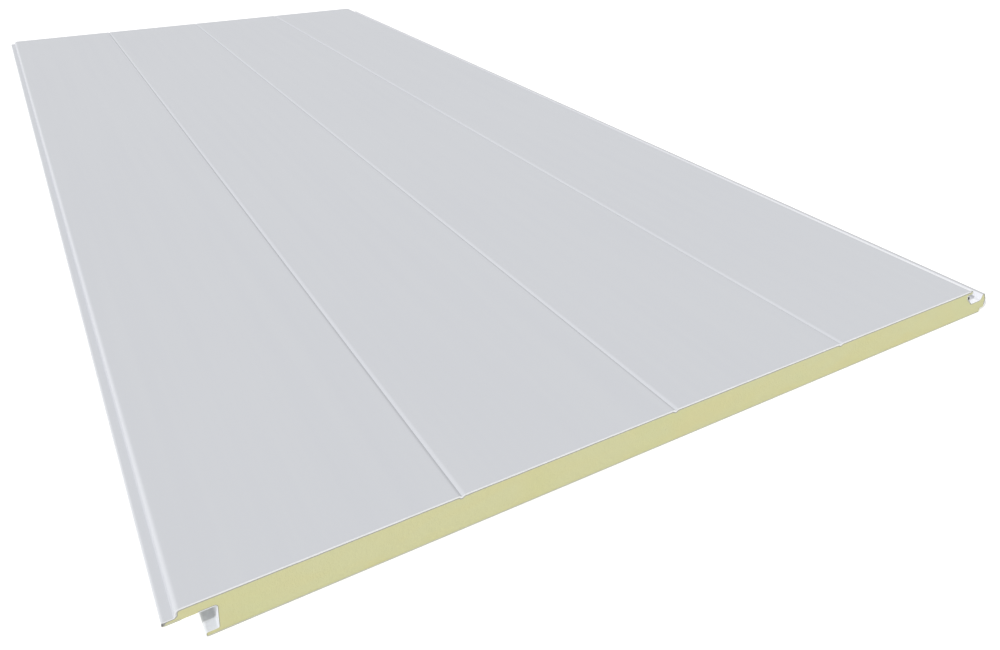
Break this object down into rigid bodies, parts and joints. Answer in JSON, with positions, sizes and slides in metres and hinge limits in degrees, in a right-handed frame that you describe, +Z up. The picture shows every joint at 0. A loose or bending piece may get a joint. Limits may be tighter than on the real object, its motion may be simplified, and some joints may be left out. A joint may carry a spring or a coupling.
{
  "type": "insulated facade panel",
  "caption": "Steel-faced foam sandwich panel for walls, with V grooves in the outer face and a tongue and cavity joint that hides its screws.",
  "frame": {"origin": "centre of the bounding box on the underside of the inner facing, which lies on the floor", "axes": "+Z up through the thickness towards the grooved outer face; +Y along the panel's length; +X across it, from the tongue and lip towards the nose, channel and rib"},
  "size_m": [1.139, 2.46, 0.04],
  "materials": {
    "outer_steel": "light grey coil coating, satin",
    "inner_steel": "grey-white coil coating, satin",
    "foam": "cut rigid foam, matt, fine closed cells",
    "seal": "black foam rubber, matt"
  },
  "bodies": {
    "root": {"outer_facing": "outer_steel", "inner_facing": "inner_steel", "foam_core": "foam", "joint_seal": "seal"}
  },
  "joints": []
}
